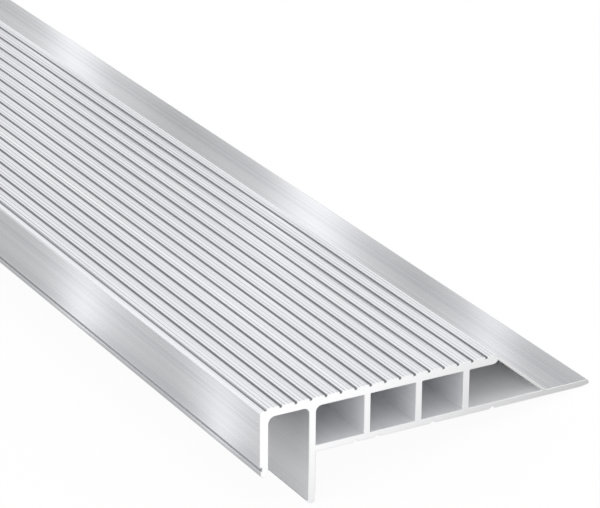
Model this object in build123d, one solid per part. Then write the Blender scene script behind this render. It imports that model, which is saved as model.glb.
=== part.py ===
"""Stair nosing: one extruded aluminium profile with a fluted tread.

The section is drawn upright, Y from the face of the front lip towards the tile flange and Z up,
with Z = 0 at the crest of the flutes. It is drawn out along X and then laid down as it rests
unheld on a level floor: on the toe of its leg and the rounded end of its flange.
"""

from build123d import *

import os
from math import asin, atan2, degrees, floor, hypot

# Length of the cut bar
LENGTH = 1000.0

# Tread plate, measured from the face of the lip
TREAD_DEPTH = 56.2
TREAD_THICKNESS = 2.1
NOSE_DROP = 0.4
NOSE_RADIUS = 0.7
TREAD_END_SLOPE_RUN = 1.2
TREAD_END_DROP = 0.65
TREAD_END_RADIUS = 1.3

# Flutes of the tread: deep grooves, with fine score lines on the rib after each
GROOVE_PITCH = 3.46
FIRST_GROOVE = 1.35
GROOVE_WIDTH = 0.7
GROOVE_FLOOR_WIDTH = 0.4
GROOVE_DEPTH = 0.6
RIB_BEVEL_RUN = 0.8
RIB_BEVEL_DROP = 0.1
SCORE_OFFSETS = (0.9, 1.9)
SCORE_WIDTH = 0.3
SCORE_DEPTH = 0.18

# Front lip and the drip groove above its toe
LIP_THICKNESS = 2.0
LIP_HEIGHT = 15.1
LIP_TOE_FRONT_RADIUS = 0.5
LIP_TOE_REAR_RADIUS = 1.2
DRIP_HEIGHT = 0.65
DRIP_DEPTH = 0.55
DRIP_BEAD_HEIGHT = 1.4
DRIP_BEAD_SETBACK = 0.25

# Channel between the lip and the leg, for the edge of a riser board or tile
CHANNEL_WIDTH = 9.3
CHANNEL_FRONT_RADIUS = 1.5
CHANNEL_REAR_RADIUS = 1.2

# Leg that goes down in front of the step
LEG_THICKNESS = 1.6
LEG_HEIGHT = 23.8

# Closed chambers behind the leg, and the webs between them
CHAMBER_WIDTHS = (11.2, 10.7, 9.9)
CHAMBER_HEIGHT = 8.7
CHAMBER_CORNER_RADIUS = 1.3
WEB_THICKNESS = 1.5

# Base plate, its glue grooves, the sloping rear wall and the tile flange
BASE_THICKNESS = 1.4
RAMP_RUN = 12.0
RAMP_WALL = 0.55
FLANGE_WIDTH = 11.0
GLUE_GROOVES = (22.2, 27.3, 40.5, 55.0)
GLUE_GROOVE_WIDTH = 1.4
GLUE_GROOVE_DEPTH = 0.5

# Largest share of a wall or a side that one rounding takes up
ROUNDING_LIMIT = 0.99

# Places that follow from the sizes above, in the upright section
CREST = 0.0
PLATE_UNDERSIDE = CREST - TREAD_THICKNESS
FLANGE_TOP = PLATE_UNDERSIDE - CHAMBER_HEIGHT
BASE_UNDERSIDE = FLANGE_TOP - BASE_THICKNESS
LIP_TOE = CREST - LIP_HEIGHT
LEG_TOE = CREST - LEG_HEIGHT
LEG_FRONT = LIP_THICKNESS + CHANNEL_WIDTH
LEG_REAR = LEG_FRONT + LEG_THICKNESS
TREAD_FLAT_END = TREAD_DEPTH - TREAD_END_SLOPE_RUN
GROOVE_COUNT = 1 + floor((TREAD_FLAT_END - GROOVE_WIDTH / 2 - FIRST_GROOVE) / GROOVE_PITCH)
RAMP_FOOT = TREAD_DEPTH + RAMP_RUN
FLANGE_END = RAMP_FOOT + FLANGE_WIDTH
LEG_TOE_RADIUS = LEG_THICKNESS / 2
FLANGE_END_RADIUS = BASE_THICKNESS / 2


def box_section(front, rear, bottom, top):
    """A rectangle of the section between two Y values and two Z values."""
    centre = ((front + rear) / 2, (bottom + top) / 2)
    return Pos(*centre) * Rectangle(rear - front, top - bottom)


def outline(*points):
    """A straight-sided face of the section from its corners in order."""
    return make_face(Polyline(*points, close=True))


def rounded(face, radius, *corners):
    """The face with the given corners rounded to one radius."""
    return fillet([face.vertices().sort_by_distance(corner)[0] for corner in corners], radius)


def chamber_spans():
    """Front and rear of each rectangular chamber, from the leg backwards."""
    spans = []
    front = LEG_REAR
    for width in CHAMBER_WIDTHS:
        spans.append((front, front + width))
        front += width + WEB_THICKNESS
    return spans


def ramp_inside(depth_below_crest):
    """Y of the ramp wall's inner face at a depth, one wall thickness inside its outer face."""
    drop = FLANGE_TOP + TREAD_END_DROP
    slope_length = hypot(RAMP_RUN, drop)
    level_thickness = RAMP_WALL * slope_length / -drop
    run_to_depth = (depth_below_crest - TREAD_END_DROP) * RAMP_RUN / -drop
    return TREAD_DEPTH + run_to_depth - level_thickness


def nose_and_tread():
    """Tread plate with its rounded nose; the nose stands a little lower than the flutes."""
    nose_top = CREST - NOSE_DROP
    face = outline(
        (0, PLATE_UNDERSIDE),
        (0, nose_top),
        (FIRST_GROOVE, nose_top),
        (FIRST_GROOVE, CREST),
        (TREAD_FLAT_END, CREST),
        (TREAD_DEPTH, CREST - TREAD_END_DROP),
        (TREAD_DEPTH, PLATE_UNDERSIDE),
    )
    face = rounded(face, NOSE_RADIUS, (0, nose_top))
    edge_height = TREAD_THICKNESS - TREAD_END_DROP
    end_radius = min(TREAD_END_RADIUS, ROUNDING_LIMIT * edge_height)
    return rounded(face, end_radius, (TREAD_DEPTH, PLATE_UNDERSIDE))


def lip():
    """Front lip with its rounded toe."""
    face = box_section(0, LIP_THICKNESS, LIP_TOE, PLATE_UNDERSIDE)
    face = rounded(face, LIP_TOE_FRONT_RADIUS, (0, LIP_TOE))
    return rounded(face, LIP_TOE_REAR_RADIUS, (LIP_THICKNESS, LIP_TOE))


def drip_groove():
    """Square drip groove in the lip's face, and the set-back bead under it."""
    groove_bottom = LIP_TOE + DRIP_BEAD_HEIGHT
    groove = box_section(-DRIP_DEPTH, DRIP_DEPTH, groove_bottom, groove_bottom + DRIP_HEIGHT)
    bead_relief = box_section(-DRIP_BEAD_SETBACK, DRIP_BEAD_SETBACK, LIP_TOE, groove_bottom)
    return groove + bead_relief


def leg():
    """Leg from the tread plate down to its full-round toe."""
    toe_centre = Pos((LEG_FRONT + LEG_REAR) / 2, LEG_TOE + LEG_TOE_RADIUS)
    shank = box_section(LEG_FRONT, LEG_REAR, LEG_TOE + LEG_TOE_RADIUS, PLATE_UNDERSIDE)
    return shank + toe_centre * Circle(LEG_TOE_RADIUS)


def base_and_flange():
    """Base plate under the chambers, run on as the tile flange to its full-round end."""
    end_centre = Pos(FLANGE_END - FLANGE_END_RADIUS, BASE_UNDERSIDE + FLANGE_END_RADIUS)
    plate = box_section(LEG_REAR, FLANGE_END - FLANGE_END_RADIUS, BASE_UNDERSIDE, FLANGE_TOP)
    return plate + end_centre * Circle(FLANGE_END_RADIUS)


def webs():
    """Upright webs behind the three rectangular chambers."""
    return [
        box_section(rear, rear + WEB_THICKNESS, FLANGE_TOP, PLATE_UNDERSIDE)
        for _, rear in chamber_spans()
    ]


def ramp():
    """Thin wall that slopes from the rear of the tread plate down to the flange."""
    return outline(
        (TREAD_DEPTH, CREST - TREAD_END_DROP),
        (RAMP_FOOT, FLANGE_TOP),
        (ramp_inside(-FLANGE_TOP), FLANGE_TOP),
        (ramp_inside(TREAD_END_DROP), CREST - TREAD_END_DROP),
    )


def inner_corner(y, z, y_side, radius):
    """Metal that rounds an inner corner under the tread plate; y_side is the side of the void."""
    square = box_section(*sorted((y, y + y_side * radius)), z - radius, z)
    return square - Pos(y + y_side * radius, z - radius) * Circle(radius)


def tread_groove(centre):
    """One deep tread groove, with the bevel of the rib in front of it."""
    front = centre - GROOVE_WIDTH / 2
    rear = centre + GROOVE_WIDTH / 2
    clear = CREST + GROOVE_DEPTH
    return outline(
        (front - RIB_BEVEL_RUN, CREST),
        (front, CREST - RIB_BEVEL_DROP),
        (centre - GROOVE_FLOOR_WIDTH / 2, CREST - GROOVE_DEPTH),
        (centre + GROOVE_FLOOR_WIDTH / 2, CREST - GROOVE_DEPTH),
        (rear, CREST),
        (rear, clear),
        (front - RIB_BEVEL_RUN, clear),
    )


def score_line(centre):
    """One fine V score line in the crest of a rib."""
    half = SCORE_WIDTH / 2
    return outline((centre - half, CREST), (centre, CREST - SCORE_DEPTH), (centre + half, CREST))


def tread_relief():
    """All grooves of the tread, and the score lines that lie whole on its flat."""
    cuts = []
    for index in range(GROOVE_COUNT):
        groove = FIRST_GROOVE + index * GROOVE_PITCH
        cuts.append(tread_groove(groove))
        for offset in SCORE_OFFSETS:
            if groove + offset + SCORE_WIDTH / 2 < TREAD_FLAT_END:
                cuts.append(score_line(groove + offset))
    return cuts


def glue_grooves():
    """V grooves under the base that key the adhesive."""
    half = GLUE_GROOVE_WIDTH / 2
    peak = BASE_UNDERSIDE + GLUE_GROOVE_DEPTH
    return [
        outline((y - half, BASE_UNDERSIDE), (y, peak), (y + half, BASE_UNDERSIDE))
        for y in GLUE_GROOVES
    ]


def section():
    """The whole upright section."""
    solid = nose_and_tread() + lip() + leg() + base_and_flange() + ramp()
    for web in webs():
        solid += web
    solid += inner_corner(LIP_THICKNESS, PLATE_UNDERSIDE, 1, CHANNEL_FRONT_RADIUS)
    solid += inner_corner(LEG_FRONT, PLATE_UNDERSIDE, -1, CHANNEL_REAR_RADIUS)
    solid += inner_corner(LEG_REAR, PLATE_UNDERSIDE, 1, CHAMBER_CORNER_RADIUS)
    for cut in tread_relief() + glue_grooves() + [drip_groove()]:
        solid -= cut
    return solid


def rest_angle():
    """Degrees that the flange side sinks until leg toe and flange end touch one level line."""
    run = FLANGE_END - FLANGE_END_RADIUS - (LEG_FRONT + LEG_REAR) / 2
    rise = BASE_UNDERSIDE + FLANGE_END_RADIUS - (LEG_TOE + LEG_TOE_RADIUS)
    swing = asin((LEG_TOE_RADIUS - FLANGE_END_RADIUS) / hypot(run, rise))
    return degrees(atan2(rise, run) + swing)


def nosing_profile():
    """The bar as it lies on a level floor, centred on X and Y with the floor at Z = 0."""
    bar = extrude(Plane.YZ * section(), LENGTH / 2, both=True)
    bar = Rot(X=-rest_angle()) * bar
    box = bar.bounding_box()
    return Pos(0, -(box.min.Y + box.max.Y) / 2, -box.min.Z) * bar


def main():
    """Write the one piece to its STEP file."""
    os.makedirs("parts", exist_ok=True)
    export_step(nosing_profile(), "parts/nosing_profile.step")


main()
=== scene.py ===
"""Looks of the stair nosing: the finely drawn extrusion, its finishes, the studio and the camera.

The section is drawn upright in millimetres, y from the face of the front lip towards the tile
flange and z up from the crest of the flutes. It is then drawn out along X, laid down on the floor
as the frame holds it, and scaled to metres.
"""

import logging
from dataclasses import dataclass, field
from enum import Enum
from math import acos, asin, atan2, cos, floor, hypot, radians, sin, sqrt, tan
from typing import Iterable

import bmesh
import bpy
from mathutils import Matrix, Vector


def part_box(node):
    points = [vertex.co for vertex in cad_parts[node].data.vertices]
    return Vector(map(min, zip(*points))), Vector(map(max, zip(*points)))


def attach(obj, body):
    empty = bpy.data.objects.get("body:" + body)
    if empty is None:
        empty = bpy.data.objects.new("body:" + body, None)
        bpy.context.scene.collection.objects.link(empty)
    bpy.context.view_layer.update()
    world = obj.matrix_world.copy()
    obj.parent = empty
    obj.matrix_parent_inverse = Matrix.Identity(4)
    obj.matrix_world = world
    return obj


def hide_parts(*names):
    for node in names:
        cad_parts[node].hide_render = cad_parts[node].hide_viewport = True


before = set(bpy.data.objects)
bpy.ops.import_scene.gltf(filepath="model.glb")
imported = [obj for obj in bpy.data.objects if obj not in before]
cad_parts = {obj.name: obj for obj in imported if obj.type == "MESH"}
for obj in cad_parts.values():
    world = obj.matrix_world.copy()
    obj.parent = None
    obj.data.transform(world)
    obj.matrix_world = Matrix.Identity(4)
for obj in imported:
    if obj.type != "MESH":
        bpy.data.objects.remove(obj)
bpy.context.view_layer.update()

NODE = "nosing_profile"
BODY = "root"
MM = 0.001

# Attribute of the mesh that holds the painted shade of each point in grooves, score lines and the
# channel, from 0 to 1
PAINTED_SHADE_ATTRIBUTE = "recess"

# Largest share of a side that one rounding takes up
ROUNDING_LIMIT = 0.99

Colour = tuple[float, float, float]
Place = tuple[float, float, float]
Stops = tuple[tuple[float, float], ...]

WHITE = (1.0, 1.0, 1.0, 1.0)

# Mean of the values that a noise gives
NOISE_MEAN = 0.5

log = logging.getLogger("stair_nosing")


class Skin(Enum):
    """Finishes of the bar, in the order of its material slots; the hollows' carry painted light and
    shade.
    """

    MILL = 0
    CHANNEL = 1
    CHAMBER = 2
    RAMP_CHAMBER = 3
    SAWN = 4


@dataclass(frozen=True)
class Corner:
    """A corner of the section, with the length of each side that its rounding takes up."""

    y: float
    z: float
    rounding: float = 0.0


def spans(start: float, widths: Iterable[float], gap: float) -> list[tuple[float, float]]:
    """Front and rear of each of a row of widths.

    Args:
        start: Front of the first.
        widths: The widths, front to rear.
        gap: What stands between two of them.

    Returns:
        One pair of front and rear for each width.
    """
    found = []
    for width in widths:
        found.append((start, start + width))
        start += width + gap
    return found


@dataclass(frozen=True)
class Lip:
    """Front lip that hangs from the nose, with a drip groove above its toe.

    Attributes:
        drip_shade: How dark the painted shade at the back of the drip groove is, as a share of the
            darkest painted shade.
        bead_height: Height of the bead between the toe and the drip groove.
        bead_setback: How far the bead stands back from the lip's face.
    """

    thickness: float = 2.0
    height: float = 15.1
    toe_front_rounding: float = 0.55
    toe_rear_rounding: float = 1.05
    drip_height: float = 0.8
    drip_depth: float = 0.55
    drip_rounding: float = 0.07
    drip_shade: float = 0.68
    bead_height: float = 1.4
    bead_setback: float = 0.25

    def toe(self) -> float:
        """Level of the lip's lowest point."""
        return -self.height

    def bead_top(self) -> float:
        """Level of the top of the bead, where the drip groove starts."""
        return self.toe() + self.bead_height

    def groove_top(self) -> float:
        """Level where the drip groove ends."""
        return self.bead_top() + self.drip_height

    def front(self) -> list[Corner]:
        """Corners up the face of the lip.

        Returns:
            The five corners, from the toe to the top of the drip groove.
        """
        return [
            Corner(self.bead_setback, self.toe(), self.toe_front_rounding),
            Corner(self.bead_setback, self.bead_top(), self.drip_rounding),
            Corner(self.drip_depth, self.bead_top()),
            Corner(self.drip_depth, self.groove_top()),
            Corner(0.0, self.groove_top(), self.drip_rounding),
        ]

    def recess(self, y: float, z: float) -> float:
        """Painted shade of a point, by how deep it lies in the drip groove.

        Args:
            y: Place behind the face of the lip.
            z: Level from the crest of the flutes.

        Returns:
            0 outside the groove, rising to its painted shade at its back.
        """
        in_groove = self.toe() < z < self.groove_top() + self.drip_rounding
        if not in_groove or y > self.drip_depth + self.bead_setback:
            return 0.0
        reach = max(0.0, y - self.bead_setback) / (self.drip_depth - self.bead_setback)
        return self.drip_shade * reach

    def rear(self, ceiling: float, rounding: float) -> list[Corner]:
        """Corners down the back of the lip, from the ceiling of the channel.

        Args:
            ceiling: Level of the channel's ceiling.
            rounding: Rounding of the channel's front corner.

        Returns:
            The two corners.
        """
        return [
            Corner(self.thickness, ceiling, rounding),
            Corner(self.thickness, self.toe(), self.toe_rear_rounding),
        ]


@dataclass(frozen=True)
class Flutes:
    """Grooves of the tread, each followed by a rib with two fine score lines.

    Attributes:
        first: Middle of the first groove behind the lip's face.
        bevel_run: Run of the bevel that leads down into each groove but the first.
        score_offsets: Middle of each score line behind the middle of the groove before it.
        score_shades: How dark the painted shade in each score line is, as a share of the darkest painted
            shade.
    """

    pitch: float = 3.46
    first: float = 1.35
    width: float = 0.7
    floor_width: float = 0.4
    depth: float = 0.6
    bevel_run: float = 0.8
    bevel_drop: float = 0.1
    score_offsets: tuple[float, ...] = (0.9, 1.9)
    score_width: float = 0.3
    score_depth: float = 0.18
    score_shades: tuple[float, ...] = (0.72, 0.5)
    rib_rounding: float = 0.16
    score_rounding: float = 0.1
    bevel_top_rounding: float = 0.2
    bevel_foot_rounding: float = 0.16
    floor_rounding: float = 0.1

    def count(self, flat_end: float) -> int:
        """Number of grooves that fit in front of the end of the tread's flat."""
        return 1 + floor((flat_end - self.width / 2 - self.first) / self.pitch)

    def front_at(self, centre: float, drop: float) -> float:
        """Where a groove's front flank lies at a depth under the crest."""
        share = (drop - self.bevel_drop) / (self.depth - self.bevel_drop)
        return centre - self.width / 2 + share * (self.width - self.floor_width) / 2

    def groove(self, centre: float) -> list[Corner]:
        """Corners of one groove.

        Args:
            centre: Middle of the groove.

        Returns:
            The two corners of its floor and the one where the crest starts again.
        """
        half_floor = self.floor_width / 2
        return [
            Corner(centre - half_floor, -self.depth, self.floor_rounding),
            Corner(centre + half_floor, -self.depth, self.floor_rounding),
            Corner(centre + self.width / 2, 0.0, self.rib_rounding),
        ]

    def bevel(self, centre: float) -> list[Corner]:
        """Corners of the bevel that leads down into a groove.

        Args:
            centre: Middle of the groove.

        Returns:
            The bevel's upper and lower corner.
        """
        front = centre - self.width / 2
        return [
            Corner(front - self.bevel_run, 0.0, self.bevel_top_rounding),
            Corner(front, -self.bevel_drop, self.bevel_foot_rounding),
        ]

    def score(self, centre: float) -> list[Corner]:
        """Corners of one fine score line.

        Args:
            centre: Middle of the line.

        Returns:
            Its front edge, its foot and its rear edge.
        """
        half = self.score_width / 2
        return [
            Corner(centre - half, 0.0, self.score_rounding),
            Corner(centre, -self.score_depth),
            Corner(centre + half, 0.0, self.score_rounding),
        ]

    def recess(self, y: float, z: float, open_top: float) -> float:
        """Painted shade of a point, by how deep it lies under the crest, as a share of a groove's depth.

        Args:
            y: Place behind the face of the lip.
            z: Level from the crest.
            open_top: Where the smooth top of the nose ends.

        Returns:
            0 on the open surface, 1 on the floor of a groove.
        """
        if y < open_top:
            return 0.0
        offset = (y - self.first) % self.pitch
        # Score lines take their own share of the painted shade
        for score, shade in zip(self.score_offsets, self.score_shades):
            if abs(offset - score) < self.score_width / 2 + self.score_rounding:
                return -z / self.score_depth * shade
        return -z / self.depth

    def row(self, flat_end: float) -> list[Corner]:
        """Corners of the whole fluted top, front to rear.

        Args:
            flat_end: Where the flat of the tread ends.

        Returns:
            The corners of all grooves, bevels and score lines.
        """
        corners = []
        for index in range(self.count(flat_end)):
            centre = self.first + index * self.pitch
            if index:
                corners += self.bevel(centre)
            corners += self.groove(centre)
            for offset in self.score_offsets:
                if centre + offset + self.score_width / 2 < flat_end:
                    corners += self.score(centre + offset)
        return corners


@dataclass(frozen=True)
class Tread:
    """Tread plate, from its rounded nose to its sloping rear edge.

    Attributes:
        nose_drop: How far the nose lies under the crest of the flutes.
        nose_fall: How much further the nose has sunk where the first groove starts.
        open_margin: How far behind the nose's rear edge the shade of the grooves starts.
    """

    depth: float = 56.2
    thickness: float = 2.1
    nose_drop: float = 0.4
    nose_fall: float = 0.11
    nose_rounding: float = 0.68
    end_slope_run: float = 1.2
    end_drop: float = 0.65
    end_rounding: float = 1.3
    edge_rounding: float = 0.2
    open_margin: float = 0.05
    flutes: Flutes = field(default_factory=Flutes)

    def flat_end(self) -> float:
        """Where the flat of the tread ends and its rear slope starts."""
        return self.depth - self.end_slope_run

    def nose_end(self) -> float:
        """Where the smooth top of the nose breaks into the first groove."""
        return self.flutes.front_at(self.flutes.first, self.nose_drop + self.nose_fall)

    def recess(self, y: float, z: float) -> float:
        """Painted shade of a point in the tread's relief, by its depth as a share of a groove's depth."""
        on_top = -self.thickness / 2 < z < 0.0 and y < self.flat_end() - self.edge_rounding
        return self.flutes.recess(y, z, self.nose_end() + self.open_margin) if on_top else 0.0

    def top(self) -> list[Corner]:
        """Corners over the tread.

        Returns:
            The corners from the nose, over all flutes, to the rear edge.
        """
        return [
            Corner(0.0, -self.nose_drop, self.nose_rounding),
            Corner(self.nose_end(), -self.nose_drop - self.nose_fall),
            *self.flutes.row(self.flat_end()),
            Corner(self.flat_end(), 0.0, self.edge_rounding),
            Corner(self.depth, -self.end_drop, self.edge_rounding),
        ]


@dataclass(frozen=True)
class Leg:
    """Leg that goes down in front of the step, behind the open channel."""

    channel_width: float = 9.3
    channel_front_rounding: float = 1.5
    channel_rear_rounding: float = 1.2
    thickness: float = 1.6
    height: float = 23.8
    root_rounding: float = 0.15

    def faces(self, lip_thickness: float) -> tuple[float, float]:
        """Where the leg's front and rear face stand behind a lip of some thickness."""
        front = lip_thickness + self.channel_width
        return front, front + self.thickness

    def corners(self, lip_thickness: float, under_base: float, ceiling: float) -> list[Corner]:
        """Corners down the leg's rear, round its toe and up to the ceiling of the channel.

        Args:
            lip_thickness: Thickness of the lip in front of the channel.
            under_base: Level of the base plate's underside.
            ceiling: Level of the channel's ceiling.

        Returns:
            The four corners.
        """
        front, rear = self.faces(lip_thickness)
        round_toe = ROUNDING_LIMIT * self.thickness / 2
        return [
            Corner(rear, under_base, self.root_rounding),
            Corner(rear, -self.height, round_toe),
            Corner(front, -self.height, round_toe),
            Corner(front, ceiling, self.channel_rear_rounding),
        ]


@dataclass(frozen=True)
class Base:
    """Base plate with glue grooves, the sloping rear wall and the tile flange.

    Attributes:
        ramp_wall: Thickness of the sloping wall, square to its slope.
        foot_rounding: Rounding where the sloping wall meets the flange.
        glue_grooves: Middle of each V groove behind the lip's face.
    """

    thickness: float = 1.4
    ramp_run: float = 12.0
    ramp_wall: float = 0.55
    flange_width: float = 11.0
    flange_rounding: float = 0.695
    foot_rounding: float = 0.25
    glue_grooves: tuple[float, ...] = (22.2, 27.3, 40.5, 55.0)
    glue_groove_width: float = 1.4
    glue_groove_depth: float = 0.5
    glue_groove_rounding: float = 0.1

    def flange(self, ramp_top: float, top: float) -> list[Corner]:
        """Corners from the foot of the ramp round the end of the flange.

        Args:
            ramp_top: Where the ramp starts behind the lip's face.
            top: Level of the flange's upper side.

        Returns:
            The three corners.
        """
        foot = ramp_top + self.ramp_run
        end = foot + self.flange_width
        return [
            Corner(foot, top, self.foot_rounding),
            Corner(end, top, self.flange_rounding),
            Corner(end, top - self.thickness, self.flange_rounding),
        ]

    def underside(self, top: float) -> list[Corner]:
        """Corners of the glue grooves under the base.

        Args:
            top: Level of the flange's upper side.

        Returns:
            Three corners for each groove, rear to front.
        """
        level = top - self.thickness
        half = self.glue_groove_width / 2
        corners = []
        for centre in reversed(self.glue_grooves):
            corners += [
                Corner(centre + half, level, self.glue_groove_rounding),
                Corner(centre, level + self.glue_groove_depth, self.glue_groove_rounding),
                Corner(centre - half, level, self.glue_groove_rounding),
            ]
        return corners


@dataclass(frozen=True)
class Hollows:
    """Closed chambers between the leg and the ramp.

    Attributes:
        widths: Width of each box-shaped chamber, front to rear.
        first_rounding: Rounding at the top of the leg, in the first chamber.
        root_rounding: Rounding of every other corner.
    """

    widths: tuple[float, ...] = (11.2, 10.7, 9.9)
    height: float = 8.7
    first_rounding: float = 1.3
    web: float = 1.5
    root_rounding: float = 0.12


@dataclass(frozen=True)
class Bar:
    """The whole extruded bar.

    Attributes:
        fine_rounding: Roundings under this size get few segments.
        stations: Number of lengths that the long faces are divided into.
        saw_break: Chamfer of the sawn ends' edges.
        smooth_to: Steepest angle between two faces that are shaded as one.
        in_plane: Slack for telling whether a point lies on a wall.
    """

    tread: Tread = field(default_factory=Tread)
    lip: Lip = field(default_factory=Lip)
    leg: Leg = field(default_factory=Leg)
    hollows: Hollows = field(default_factory=Hollows)
    base: Base = field(default_factory=Base)
    fine_rounding: float = 0.3
    fine_segments: int = 3
    arc_segments: int = 8
    stations: int = 20
    saw_break: float = 0.1
    smooth_to: float = radians(24.0)
    in_plane: float = 0.01

    def ceiling(self) -> float:
        """Level of the tread plate's underside."""
        return -self.tread.thickness

    def flange_top(self) -> float:
        """Level of the base plate's upper side."""
        return self.ceiling() - self.hollows.height

    def under_base(self) -> float:
        """Level of the base plate's underside."""
        return self.flange_top() - self.base.thickness

    def skin_outline(self) -> list[Corner]:
        """Corners of the outer skin.

        Returns:
            The corners from the lip's toe over the tread and the flange, and back underneath.
        """
        return [
            *self.lip.front(),
            *self.tread.top(),
            *self.base.flange(self.tread.depth, self.flange_top()),
            *self.base.underside(self.flange_top()),
            *self.leg.corners(self.lip.thickness, self.under_base(), self.ceiling()),
            *self.lip.rear(self.ceiling(), self.leg.channel_front_rounding),
        ]

    def chamber_outlines(self) -> list[list[Corner]]:
        """Corners of each chamber.

        Returns:
            One outline for each, the box-shaped ones first and the one under the ramp last.
        """
        top, bottom, root = self.ceiling(), self.flange_top(), self.hollows.root_rounding
        _, leg_rear = self.leg.faces(self.lip.thickness)
        found = []
        rows = spans(leg_rear, self.hollows.widths, self.hollows.web)
        for index, (front, rear) in enumerate(rows):
            found.append([
                Corner(front, bottom, root),
                Corner(front, top, root if index else self.hollows.first_rounding),
                Corner(rear, top, root),
                Corner(rear, bottom, root),
            ])
        found.append(self.ramp_chamber(rows[-1][1] + self.hollows.web))
        return found

    def ramp_chamber(self, front: float) -> list[Corner]:
        """Corners of the chamber under the ramp.

        Args:
            front: Rear face of the last web.

        Returns:
            Its five corners; the round rear of the tread plate meets the ramp at the fourth.
        """
        top, bottom, root = self.ceiling(), self.flange_top(), self.hollows.root_rounding
        run, drop = self.base.ramp_run, bottom + self.tread.end_drop
        slope = hypot(run, drop)
        level_wall = self.base.ramp_wall * slope / -drop
        radius = self.tread.end_rounding
        middle = Vector((self.tread.depth - radius, top + radius))
        head = Vector((self.tread.depth - level_wall, -self.tread.end_drop))
        across = Vector((-drop, run)) / slope
        offset = (head - middle).dot(across)
        half_chord = Vector((run, drop)) * sqrt(radius ** 2 - offset ** 2) / slope
        meeting = middle + across * offset + half_chord
        tangent = radius * tan(acos((middle.y - meeting.y) / radius) / 2)
        return [
            Corner(front, bottom, root),
            Corner(front, top, root),
            Corner(middle.x + tangent, top, ROUNDING_LIMIT * tangent),
            Corner(meeting.x, meeting.y),
            Corner(self.tread.depth + run - level_wall, bottom, root),
        ]

    def rest_angle(self) -> float:
        """Angle by which the flange side sinks until leg toe and flange end touch the floor.

        Returns:
            The angle, in radians.
        """
        toe_radius = self.leg.thickness / 2
        end_radius = self.base.thickness / 2
        leg_front, leg_rear = self.leg.faces(self.lip.thickness)
        flange_end = self.tread.depth + self.base.ramp_run + self.base.flange_width
        run = flange_end - end_radius - (leg_front + leg_rear) / 2
        rise = self.under_base() + end_radius + self.leg.height - toe_radius
        return atan2(rise, run) + asin((toe_radius - end_radius) / hypot(run, rise))

    def wall(self, mesh: bmesh.types.BMesh, outline: list[Corner], skin: Skin) -> None:
        """Adds the wall that one outline sweeps along the bar.

        Args:
            mesh: The bar's mesh.
            outline: Corners of the outline.
            skin: Finish of the wall.
        """
        loop = bmesh.new()
        corners = [loop.verts.new((0.0, corner.y, corner.z)) for corner in outline]
        for start, end in zip(corners, corners[1:] + corners[:1]):
            loop.edges.new((start, end))
        for rounding in sorted({corner.rounding for corner in outline} - {0.0}):
            fine = rounding < self.fine_rounding
            bmesh.ops.bevel(
                loop,
                geom=[v for v, corner in zip(corners, outline) if corner.rounding == rounding],
                offset=rounding, offset_type="OFFSET", profile=0.5, affect="VERTICES", material=-1,
                segments=self.fine_segments if fine else self.arc_segments,
            )
        sheet = bpy.data.meshes.new("outline")
        loop.to_mesh(sheet)
        loop.free()
        known = len(mesh.edges)
        mesh.from_mesh(sheet)
        bpy.data.meshes.remove(sheet)
        mesh.edges.ensure_lookup_table()
        grown = bmesh.ops.extrude_edge_only(mesh, edges=mesh.edges[known:])["geom"]
        moved = [item for item in grown if isinstance(item, bmesh.types.BMVert)]
        bmesh.ops.translate(mesh, verts=moved, vec=(self.length(), 0.0, 0.0))
        for face in (item for item in grown if isinstance(item, bmesh.types.BMFace)):
            middle = face.calc_center_median()
            # The open channel's walls take the copy with painted shade
            face.material_index = (Skin.CHANNEL if self.in_channel(middle.y, middle.z) else skin).value

    def in_channel(self, y: float, z: float) -> bool:
        """Whether a point of the section lies on a wall of the open channel.

        Args:
            y: Place behind the face of the lip.
            z: Level from the crest of the flutes.

        Returns:
            True from the rounded toes of lip and leg up to the ceiling.
        """
        leg_front, _ = self.leg.faces(self.lip.thickness)
        across = self.lip.thickness - self.in_plane < y < leg_front + self.in_plane
        lip_foot = self.lip.toe() + self.lip.toe_rear_rounding
        leg_foot = self.leg.thickness / 2 - self.leg.height
        lowest = lip_foot if y < (self.lip.thickness + leg_front) / 2 else leg_foot
        return across and lowest < z < self.ceiling() + self.in_plane

    def recess(self, y: float, z: float) -> float:
        """Painted shade of a point of the section, by its depth in a groove or its height in the channel.

        Args:
            y: Place behind the face of the lip.
            z: Level from the crest of the flutes.

        Returns:
            0 on the open surface, 1 where the painted shade is darkest.
        """
        # Painted shade in the channel grows towards its ceiling
        if self.in_channel(y, z):
            return (z + self.leg.height) / (self.ceiling() + self.leg.height)
        return max(self.tread.recess(y, z), self.lip.recess(y, z))

    def length(self) -> float:
        """Length of the bar between its sawn ends' chamfers, in millimetres."""
        low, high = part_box(NODE)
        return (high.x - low.x) / MM - 2 * self.saw_break

    def cap(self, mesh: bmesh.types.BMesh, x: float, outward: float) -> None:
        """Closes one end with a flat sawn face and breaks its edges.

        Args:
            mesh: The bar's mesh.
            x: Where the end's open edges lie.
            outward: 1 or -1, the way along X that the face looks.
        """
        near = self.saw_break
        rim = [e for e in mesh.edges if e.is_boundary and abs(e.verts[0].co.x - x) < near]
        normal = Vector((outward, 0.0, 0.0))
        filled = bmesh.ops.triangle_fill(mesh, use_beauty=True, edges=rim, normal=normal)["geom"]
        faces = [item for item in filled if isinstance(item, bmesh.types.BMFace)]
        bmesh.ops.recalc_face_normals(mesh, faces=mesh.faces)
        ring = bmesh.ops.inset_region(
            mesh, faces=faces, use_boundary=True, use_even_offset=True,
            thickness=self.saw_break, depth=self.saw_break,
        )["faces"]
        for face in faces + ring:
            face.material_index = Skin.SAWN.value

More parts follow.
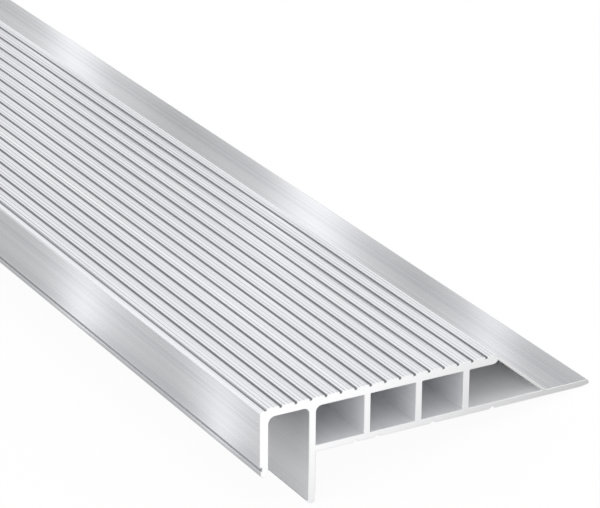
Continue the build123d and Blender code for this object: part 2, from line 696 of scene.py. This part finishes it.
    def mesh(self) -> bpy.types.Mesh:
        """Makes the bar's mesh where the frame holds it.

        Returns:
            The mesh, with the painted shade of its recesses stored on its points and its sharp edges set.
        """
        shape = bmesh.new()
        self.wall(shape, self.skin_outline(), Skin.MILL)
        *box_shaped, under_ramp = self.chamber_outlines()
        for outline in box_shaped:
            self.wall(shape, outline, Skin.CHAMBER)
        self.wall(shape, under_ramp, Skin.RAMP_CHAMBER)
        lengthwise = [e for e in shape.edges if e.calc_length() > self.length() / 2]
        bmesh.ops.subdivide_edges(shape, edges=lengthwise, cuts=self.stations - 1, use_grid_fill=True)
        self.cap(shape, 0.0, -1.0)
        self.cap(shape, self.length(), 1.0)
        # Painted shade: how dark each point is painted in the grooves, score lines and channel
        depth = shape.verts.layers.float.new(PAINTED_SHADE_ATTRIBUTE)
        for vert in shape.verts:
            vert[depth] = self.recess(vert.co.y, vert.co.z)
        bmesh.ops.recalc_face_normals(shape, faces=shape.faces)
        turn = Matrix.Rotation(-self.rest_angle(), 3, "X")
        bmesh.ops.rotate(shape, verts=shape.verts, cent=(0.0, 0.0, 0.0), matrix=turn)
        bmesh.ops.scale(shape, verts=shape.verts, vec=(MM, MM, MM))
        self.seat(shape)
        made = bpy.data.meshes.new(NODE + "_fine")
        shape.to_mesh(made)
        shape.free()
        for polygon in made.polygons:
            polygon.use_smooth = polygon.material_index != Skin.SAWN.value
        made.set_sharp_from_angle(angle=self.smooth_to)
        return made

    def seat(self, shape: bmesh.types.BMesh) -> None:
        """Moves the laid-down bar to the middle of its node's box, standing on the same level.

        Args:
            shape: The bar's mesh, turned and in metres.
        """
        low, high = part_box(NODE)
        places = [v.co for v in shape.verts]
        middle_y = (min(p.y for p in places) + max(p.y for p in places)) / 2
        middle_x = (min(p.x for p in places) + max(p.x for p in places)) / 2
        lowest = min(p.z for p in places)
        move = Vector(((low.x + high.x) / 2 - middle_x, (low.y + high.y) / 2 - middle_y, low.z - lowest))
        bmesh.ops.translate(shape, verts=shape.verts, vec=move)

    def build(self, finishes: dict[Skin, bpy.types.Material]) -> bpy.types.Object:
        """Makes the dressed bar that stands for the frame's node.

        Args:
            finishes: The material of each skin.

        Returns:
            The bar's object.
        """
        bar = bpy.data.objects.new("fine_nosing_profile", self.mesh())
        bpy.context.scene.collection.objects.link(bar)
        for skin in Skin:
            bar.data.materials.append(finishes[skin])
        flats = bar.modifiers.new("flat_faces_lead", "WEIGHTED_NORMAL")
        flats.keep_sharp = True
        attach(bar, BODY)
        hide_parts(NODE)
        return bar


class Signal:
    """A shader value that takes part in Python arithmetic."""

    def __init__(self, graph: "Graph", socket: bpy.types.NodeSocket) -> None:
        """Wraps an output socket of a graph."""
        self.graph = graph
        self.socket = socket

    def maths(self, operation: str, *values: "Signal | float") -> "Signal":
        """One Math node on some values."""
        node = self.graph.node("ShaderNodeMath", {"operation": operation}, dict(enumerate(values)))
        return self.graph.signal(node)

    def __add__(self, other: "Signal | float") -> "Signal":
        """Sum of two values."""
        return self.maths("ADD", self, other)

    __radd__ = __add__

    def __sub__(self, other: "Signal | float") -> "Signal":
        """This value less another."""
        return self.maths("SUBTRACT", self, other)

    def __rsub__(self, other: "Signal | float") -> "Signal":
        """Another value less this one."""
        return self.maths("SUBTRACT", other, self)

    def __mul__(self, other: "Signal | float") -> "Signal":
        """Product of two values."""
        return self.maths("MULTIPLY", self, other)

    __rmul__ = __mul__

    def __pow__(self, other: "Signal | float") -> "Signal":
        """This value to a power."""
        return self.maths("POWER", self, other)

    def larger(self, other: "Signal | float") -> "Signal":
        """The larger of two values."""
        return self.maths("MAXIMUM", self, other)


class Graph:
    """A node tree that is filled by plain calls."""

    # Sockets of a Mix node for colours, by number because their names repeat
    MIX_FACTOR = 0
    MIX_FIRST = 6
    MIX_SECOND = 7
    MIX_RESULT = 2

    def __init__(self, tree: bpy.types.NodeTree) -> None:
        """Takes an empty node tree."""
        self.tree = tree
        tree.nodes.clear()

    def node(self, kind: str, settings: dict | None = None, inputs: dict | None = None) -> bpy.types.Node:
        """Adds one node.

        Args:
            kind: Type of the node.
            settings: Its own settings; stops are a ramp's positions with their greys.
            inputs: Values or signals by the name or number of their socket.

        Returns:
            The node.
        """
        made = self.tree.nodes.new(kind)
        for name, value in (settings or {}).items():
            if name == "stops":
                self.set_stops(made.color_ramp, value)
            else:
                setattr(made, name, value)
        for name, value in (inputs or {}).items():
            if isinstance(value, Signal):
                self.tree.links.new(value.socket, made.inputs[name])
            else:
                made.inputs[name].default_value = value
        return made

    @staticmethod
    def set_stops(ramp: bpy.types.ColorRamp, stops: Stops) -> None:
        """Sets a ramp of greys.

        Args:
            ramp: The ramp, which smooths between its stops.
            stops: Positions with their grey.
        """
        ramp.interpolation = "EASE"
        while len(ramp.elements) < len(stops):
            ramp.elements.new(1.0)
        for element, (position, grey) in zip(ramp.elements, stops):
            element.position = position
            element.color = (grey, grey, grey, 1.0)

    def signal(self, node: bpy.types.Node, output: int | str = 0) -> Signal:
        """The value that a node gives out."""
        return Signal(self, node.outputs[output])

    def place(self, scale: Place = (1.0, 1.0, 1.0)) -> Signal:
        """The surface's own place in the bar's frame.

        Args:
            scale: Factors by which it is stretched along X, Y and Z.

        Returns:
            The place as a vector.
        """
        coordinates = self.node("ShaderNodeTexCoord")
        mapping = self.node(
            "ShaderNodeMapping", {"vector_type": "POINT"},
            {"Vector": self.signal(coordinates, "Object"), "Scale": scale},
        )
        return self.signal(mapping)

    def noise(self, place: Signal, scale: float, detail: float = 2.0, rough: float = 0.5) -> Signal:
        """Smooth noise over a surface.

        Args:
            place: Where on the surface.
            scale: Features in a metre.
            detail: Number of finer layers.
            rough: Strength of each finer layer against the one before.

        Returns:
            A value from 0 to 1.
        """
        node = self.node(
            "ShaderNodeTexNoise", {},
            {"Vector": place, "Scale": scale, "Detail": detail, "Roughness": rough},
        )
        return self.signal(node)

    def mix(self, factor: Signal, first: Signal | tuple, second: Signal | tuple) -> Signal:
        """A colour between two.

        Args:
            factor: 0 for the first colour, 1 for the second.
            first: One colour, with its alpha.
            second: The other colour, with its alpha.

        Returns:
            The mixed colour.
        """
        settings = {"data_type": "RGBA", "clamp_factor": True}
        sockets = {self.MIX_FACTOR: factor, self.MIX_FIRST: first, self.MIX_SECOND: second}
        return self.signal(self.node("ShaderNodeMix", settings, sockets), self.MIX_RESULT)

    def tint(self, shade: Signal, dark: Colour, light: Colour) -> Signal:
        """A colour between a dark and a light one, by a shade from 0 to 1."""
        return self.mix(shade, (*dark, 1.0), (*light, 1.0))

    def with_painted_shade(self, colour: Signal, fall: float, dark: float) -> Signal:
        """A colour darkened by painted shade in the recesses of the section.

        Args:
            colour: The colour on the open surface.
            fall: Power of the painted shade; above 1 keeps the dark to the deepest part.
            dark: Share of the colour that the painted shade takes from the deepest part.

        Returns:
            The colour with its painted shade.
        """
        depth = self.signal(self.node("ShaderNodeAttribute", {"attribute_name": PAINTED_SHADE_ATTRIBUTE}), "Fac")
        left = 1.0 - dark * depth.larger(0.0) ** fall
        node = self.node("ShaderNodeVectorMath", {"operation": "SCALE"}, {0: colour, "Scale": left})
        return self.signal(node)

    def bump(self, height: Signal, depth: float) -> Signal:
        """Normals of a relief of some depth, in metres."""
        node = self.node("ShaderNodeBump", {}, {"Height": height, "Strength": 1.0, "Distance": depth})
        return self.signal(node)

    def surface(self, shader: bpy.types.Node, output: str = "ShaderNodeOutputMaterial") -> None:
        """Leads a shader to the tree's output."""
        self.node(output, {}, {"Surface": self.signal(shader)})


def new_material(name: str) -> tuple[bpy.types.Material, Graph]:
    """Makes an empty material.

    Args:
        name: Its name.

    Returns:
        The material and its graph, still to be filled.
    """
    made = bpy.data.materials.new(name)
    made.use_nodes = True
    return made, Graph(made.node_tree)


def new_sheet(name: str, shape: bmesh.types.BMesh, finish: bpy.types.Material) -> bpy.types.Object:
    """Makes an object of the studio.

    Args:
        name: Its name.
        shape: Its shape, which is freed.
        finish: Its material.

    Returns:
        The object.
    """
    mesh = bpy.data.meshes.new(name)
    shape.to_mesh(mesh)
    shape.free()
    mesh.materials.append(finish)
    sheet = bpy.data.objects.new(name, mesh)
    bpy.context.scene.collection.objects.link(sheet)
    return sheet


@dataclass(frozen=True)
class MillFinishWithGrooveShade:
    """Bright skin straight from the press, with die lines along the bar and painted shade in its grooves.

    Attributes:
        line_share: Weight of the fine die lines in the shade.
        band_share: Weight of the broader bands in the shade.
        patch_share: Weight of the round patches in the shade.
        middle_shade: Mean of the shade; 0 is all dark and 1 is all light.
        drawn_out: Factor on the place along the bar; small ones draw the lines out.
        band_relief: Depth of the bands against that of the lines.
        painted_shade_fall: Power of the painted shade; above 1 keeps the dark to the deepest part.
        painted_shade_dark: Share of the colour that the painted shade takes from the deepest part.
    """

    dark: Colour = (0.71, 0.715, 0.76)
    light: Colour = (0.975, 0.98, 1.0)
    line_share: float = 0.8
    band_share: float = 0.5
    patch_share: float = 0.1
    middle_shade: float = 0.5
    roughness: float = 0.21
    roughness_swing: float = 0.06
    lines_per_metre: float = 2000.0
    bands_per_metre: float = 520.0
    patches_per_metre: float = 22.0
    drawn_out: float = 0.001
    line_depth: float = 0.000007
    band_relief: float = 0.5
    painted_shade_fall: float = 1.3
    painted_shade_dark: float = 0.67

    def material(self) -> bpy.types.Material:
        """Makes the finish.

        Returns:
            The material.
        """
        made, graph = new_material("mill_finish_painted_groove_shade")
        along = graph.place((self.drawn_out, 1.0, 1.0))
        lines = graph.noise(along, self.lines_per_metre, detail=1.0)
        bands = graph.noise(along, self.bands_per_metre)
        patches = graph.noise(graph.place(), self.patches_per_metre)
        streaks = self.line_share * (lines - NOISE_MEAN) + self.band_share * (bands - NOISE_MEAN)
        shade = self.middle_shade + streaks + self.patch_share * (patches - NOISE_MEAN)
        colour = graph.tint(shade, self.dark, self.light)
        shader = graph.node(
            "ShaderNodeBsdfPrincipled", {},
            {
                # Painted shade darkens the colour in the grooves, score lines and drip groove
                "Base Color": graph.with_painted_shade(colour, self.painted_shade_fall, self.painted_shade_dark),
                "Metallic": 1.0,
                "Roughness": self.roughness + self.roughness_swing * (bands - NOISE_MEAN),
                "Normal": graph.bump(lines + self.band_relief * bands, self.line_depth),
            },
        )
        graph.surface(shader)
        return made


@dataclass(frozen=True)
class InnerFinishWithPaintedLightAndShade:
    """Duller skin of the hollows, where the die drags and nothing wipes it, with painted light and shade.
    """

    name: str
    dark: Colour
    light: Colour
    metallic: float = 0.35
    roughness: float = 0.5
    roughness_swing: float = 0.1
    lines_per_metre: float = 1300.0
    line_detail: float = 3.0
    line_rough: float = 0.6
    drawn_out: float = 0.002
    line_depth: float = 0.000008
    painted_shade_fall: float = 3.0
    painted_shade_dark: float = 0.36

    def material(self) -> bpy.types.Material:
        """Makes the finish.

        Returns:
            The material.
        """
        made, graph = new_material(self.name)
        along = graph.place((self.drawn_out, 1.0, 1.0))
        lines = graph.noise(along, self.lines_per_metre, self.line_detail, self.line_rough)
        colour = graph.tint(lines, self.dark, self.light)
        shader = graph.node(
            "ShaderNodeBsdfPrincipled", {},
            {
                # Painted shade darkens the colour towards the channel's ceiling
                "Base Color": graph.with_painted_shade(colour, self.painted_shade_fall, self.painted_shade_dark),
                "Metallic": self.metallic,
                "Roughness": self.roughness + self.roughness_swing * (lines - NOISE_MEAN),
                "Normal": graph.bump(lines, self.line_depth),
            },
        )
        graph.surface(shader)
        return made


@dataclass(frozen=True)
class SawnFinish:
    """Bright ends as a fine-toothed circular saw leaves them, with faint curved marks.

    Attributes:
        saw_centre: Where the saw's axle stood, in metres, as seen along the bar.
    """

    dark: Colour = (0.90, 0.90, 0.91)
    light: Colour = (0.96, 0.96, 0.965)
    roughness: float = 0.35
    roughness_swing: float = 0.08
    saw_centre: Place = (0.0, -0.03, 0.24)
    marks_per_metre: float = 2600.0
    mark_rough: float = 0.6
    mark_depth: float = 0.000004

    def material(self) -> bpy.types.Material:
        """Makes the finish.

        Returns:
            The material.
        """
        made, graph = new_material("sawn_finish")
        section_place = graph.place((0.0, 1.0, 1.0))
        reach = graph.node(
            "ShaderNodeVectorMath", {"operation": "DISTANCE"}, {0: section_place, 1: self.saw_centre}
        )
        ring = graph.node(
            "ShaderNodeCombineXYZ", {}, {"X": graph.signal(reach, "Value"), "Y": 0.0, "Z": 0.0}
        )
        marks = graph.noise(graph.signal(ring), self.marks_per_metre, rough=self.mark_rough)
        shader = graph.node(
            "ShaderNodeBsdfPrincipled", {},
            {
                "Base Color": graph.tint(marks, self.dark, self.light),
                "Metallic": 1.0,
                "Roughness": self.roughness + self.roughness_swing * (marks - NOISE_MEAN),
                "Normal": graph.bump(marks, self.mark_depth),
            },
        )
        graph.surface(shader)
        return made


FINISHES = {
    Skin.MILL: MillFinishWithGrooveShade(),
    # Painted shade: the channel's copy is darker, and darker still towards its ceiling
    Skin.CHANNEL: InnerFinishWithPaintedLightAndShade(
        name="channel_finish_painted_shade", dark=(0.68, 0.684, 0.70), light=(0.80, 0.805, 0.825)
    ),
    # Painted light: the chambers' copy is lighter than the open skin
    Skin.CHAMBER: InnerFinishWithPaintedLightAndShade(
        name="chamber_finish_painted_light", dark=(0.85, 0.857, 0.875), light=(0.96, 0.965, 0.98)
    ),
    # Painted light: the copy under the ramp is lighter still
    Skin.RAMP_CHAMBER: InnerFinishWithPaintedLightAndShade(
        name="ramp_chamber_finish", dark=(0.94, 0.945, 0.96), light=(1.0, 1.0, 1.0)
    ),
    Skin.SAWN: SawnFinish(),
}


@dataclass(frozen=True)
class Floor:
    """White studio floor that keeps a faint shadow.

    Attributes:
        own_white: Share of plain white in what the eye and the metal see of it.
    """

    half_width: float = 6.0
    colour: float = 0.93
    own_white: float = 0.95

    def build(self) -> None:
        """Makes the floor with a material that shows white to the eye and to the metal."""
        made, graph = new_material("studio_floor")
        rays = graph.node("ShaderNodeLightPath")
        seen = graph.signal(rays, "Is Camera Ray").larger(graph.signal(rays, "Is Glossy Ray"))
        seen = seen.larger(graph.signal(rays, "Is Transmission Ray"))
        grey = (self.colour, self.colour, self.colour, 1.0)
        matt = graph.node("ShaderNodeBsdfDiffuse", {}, {"Color": grey})
        white = graph.node("ShaderNodeEmission", {}, {"Color": WHITE, "Strength": 1.0})
        mixed = graph.node(
            "ShaderNodeMixShader", {},
            {0: seen * self.own_white, 1: graph.signal(matt), 2: graph.signal(white)},
        )
        graph.surface(mixed)
        sheet = bmesh.new()
        bmesh.ops.create_grid(sheet, x_segments=1, y_segments=1, size=self.half_width)
        ground = new_sheet("studio_floor", sheet, made)


@dataclass(frozen=True)
class Reflector:
    """A striped card that only the metal sees.

    Attributes:
        corner: Where the card's first corner stands, in metres.
        along: The card's first side.
        up: The card's other side.
        across: The way in which the stripes follow each other, measured from the corner.
        run: How far the stripes reach that way.
        stops: Where each stripe lies on the run, with how bright it is.
    """

    name: str
    corner: Place
    along: Place
    up: Place
    across: Place
    run: float
    stops: Stops

    def build(self) -> None:
        """Makes the card with its stripes."""
        made, graph = new_material(self.name)
        reach = graph.node(
            "ShaderNodeVectorMath", {"operation": "DOT_PRODUCT"}, {0: graph.place(), 1: self.across}
        )
        start = Vector(self.corner).dot(Vector(self.across))
        ramp = graph.node(
            "ShaderNodeValToRGB",
            {"stops": tuple((place / self.run, grey) for place, grey in self.stops)},
            {"Fac": (graph.signal(reach, "Value") - start) * (1.0 / self.run)},
        )
        glow = graph.node("ShaderNodeEmission", {}, {"Color": graph.signal(ramp), "Strength": 1.0})
        graph.surface(glow)
        sheet = bmesh.new()
        first = sheet.verts.new(self.corner)
        second = sheet.verts.new(Vector(self.corner) + Vector(self.along))
        edge = sheet.edges.new((first, second))
        grown = bmesh.ops.extrude_edge_only(sheet, edges=[edge])["geom"]
        moved = [item for item in grown if isinstance(item, bmesh.types.BMVert)]
        bmesh.ops.translate(sheet, verts=moved, vec=self.up)
        card = new_sheet(self.name, sheet, made)
        card.visible_camera = False
        card.visible_diffuse = False
        card.visible_transmission = False
        card.visible_shadow = False


CARDS = (
    # On the floor in front of the bar: bright bands across the face of the lip
    Reflector(
        name="front_card",
        corner=(-0.9, -0.50, 0.0005),
        along=(1.5, 0.0, 0.0),
        up=(0.0, 0.458, 0.0),
        across=(1.0, -1.8, 0.0),
        run=1.5,
        stops=(
            (0.0, 0.6), (0.12, 0.9), (0.2, 0.56), (0.28, 0.95), (0.35, 0.6),
            (0.432, 0.53), (0.464, 0.55), (0.474, 0.65), (0.489, 1.22), (0.504, 0.72), (0.518, 0.6),
            (0.536, 0.54), (0.547, 0.64), (0.558, 1.25), (0.569, 0.66), (0.596, 0.66), (0.8, 0.6),
            (1.0, 0.75),
        ),
    ),
    # Upright behind the bar: bright bands across the tile flange and the ramp
    Reflector(
        name="rear_card",
        corner=(-0.6, 0.1, 0.024),
        along=(1.3, 0.0, 0.0),
        up=(0.0, 0.0, 0.028),
        across=(1.0, 0.0, 0.0),
        run=1.3,
        stops=(
            (0.0, 0.45), (0.12, 0.9), (0.2, 0.45), (0.34, 0.5), (0.43, 0.95), (0.5, 0.42),
            (0.66, 0.42), (0.707, 0.58), (0.738, 1.13), (0.770, 0.6), (0.81, 0.42), (0.855, 0.54),
            (0.892, 1.13), (0.925, 0.56), (0.947, 0.45), (0.966, 0.58), (0.982, 1.0), (0.999, 0.5),
        ),
    ),
    # On the floor beyond the near end: shades the sawn face from the lip towards the flange
    Reflector(
        name="end_card",
        corner=(0.5001, 0.07, 0.0003),
        along=(0.22, 0.0, 0.0),
        up=(0.0, -0.14, 0.0),
        across=(1.0, -0.5, 0.0),
        run=0.22,
        stops=((0.0, 0.54), (0.09, 1.18)),
    ),
    # Under the bar: a dark sheet that only the metal sees, painted shade for the shadow under the bar
    Reflector(
        name="shade_card",
        corner=(-0.499, -0.0455, 0.0007),
        along=(0.998, 0.0, 0.0),
        up=(0.0, 0.084, 0.0),
        across=(0.0, 1.0, 0.0),
        run=0.1,
        stops=((0.0, 0.62), (0.017, 0.42), (0.05, 0.25)),
    ),
    # Under the lip's toe: a grey sheet that only the metal sees, painted shade on the bead under the drip
    # groove
    Reflector(
        name="bead_shade_card",
        corner=(-0.499, -0.0545, 0.0006),
        along=(0.998, 0.0, 0.0),
        up=(0.0, 0.0095, 0.0),
        across=(1.0, 0.0, 0.0),
        run=0.998,
        stops=((0.0, 0.5), (0.965, 0.49), (0.998, 0.6)),
    ),
    # Upright in front of the bar: two bright spots on the rounding of the nose
    Reflector(
        name="front_wall_card",
        corner=(-0.9, -0.13, 0.02),
        along=(1.5, 0.0, 0.0),
        up=(0.0, 0.0, 0.24),
        across=(1.0, 0.0, 0.91),
        run=1.5,
        stops=(
            (0.0, 0.8), (1.192, 0.74), (1.23, 1.38), (1.263, 0.74), (1.294, 1.4), (1.322, 0.78),
            (1.5, 0.85),
        ),
    ),
)


@dataclass(frozen=True)
class Studio:
    """World light, floor and reflector cards.

    Attributes:
        horizon: Brightness of the sky at the horizon.
        low_sky: Brightness of the sky where its height is low_sky_height.
        zenith: Brightness of the sky overhead.
    """

    horizon: float = 0.66
    low_sky: float = 0.97
    low_sky_height: float = 0.3
    zenith: float = 1.12

    def world(self) -> None:
        """A soft sky that is darker near the horizon, and white where the camera looks at it."""
        sky = bpy.data.worlds.new("studio_sky")
        sky.use_nodes = True
        bpy.context.scene.world = sky
        graph = Graph(sky.node_tree)
        coordinates = graph.node("ShaderNodeTexCoord")
        split = graph.node("ShaderNodeSeparateXYZ", {}, {0: graph.signal(coordinates, "Generated")})
        stops = ((0.0, self.horizon), (self.low_sky_height, self.low_sky), (1.0, self.zenith))
        ramp = graph.node("ShaderNodeValToRGB", {"stops": stops}, {"Fac": graph.signal(split, "Z")})
        rays = graph.node("ShaderNodeLightPath")
        colour = graph.mix(graph.signal(rays, "Is Camera Ray"), graph.signal(ramp), WHITE)
        light = graph.node("ShaderNodeBackground", {}, {"Color": colour, "Strength": 1.0})
        graph.surface(light, "ShaderNodeOutputWorld")

    def build(self) -> None:
        """Makes the whole studio."""
        self.world()
        Floor().build()
        for card in CARDS:
            card.build()
        log.info("studio: floor and %d cards", len(CARDS))


@dataclass(frozen=True)
class Viewpoint:
    """Where the picture is taken from, and through what lens.

    Attributes:
        eye: Where the camera stands, in metres.
        aim: The point that it looks at.
        roll: How far it is turned from the section's upright.
        lens: Focal length, in millimetres.
        sensor: Width of the sensor, in millimetres.
        nearest: Nearest distance that it sees, in metres.
        farthest: Farthest distance that it sees, in metres.
    """

    eye: Place = (0.99161, -0.25803, 0.33704)
    aim: Place = (0.51086, -0.02792, 0.06149)
    roll: float = radians(0.5012)
    lens: float = 188.74
    sensor: float = 36.0
    nearest: float = 0.01
    farthest: float = 50.0

    def build(self, upright: Vector) -> None:
        """Makes the camera, held upright to the bar's own section but for a slight roll.

        Args:
            upright: The direction of the section's own upright.
        """
        view = bpy.data.cameras.new("camera")
        view.lens = self.lens
        view.sensor_width = self.sensor
        view.clip_start = self.nearest
        view.clip_end = self.farthest
        forward = (Vector(self.aim) - Vector(self.eye)).normalized()
        right = forward.cross(upright).normalized()
        up = right.cross(forward)
        turn = Matrix((right, up, -forward)).transposed() @ Matrix.Rotation(self.roll, 3, "Z")
        camera = bpy.data.objects.new("camera", view)
        camera.matrix_world = Matrix.Translation(Vector(self.eye)) @ turn.to_4x4()
        bpy.context.scene.collection.objects.link(camera)
        bpy.context.scene.camera = camera


def main() -> None:
    """Builds the bar, the studio and the camera, and notes the size of the model."""
    logging.basicConfig(level=logging.INFO, format="%(name)s: %(message)s")
    bar = Bar()
    piece = bar.build({skin: finish.material() for skin, finish in FINISHES.items()})
    log.info("%s: %d faces", piece.name, len(piece.data.polygons))
    Studio().build()
    angle = bar.rest_angle()
    Viewpoint().build(Vector((0.0, sin(angle), cos(angle))))
    bpy.context.scene.view_settings.view_transform = "Standard"


if __name__ == "__main__":
    main()
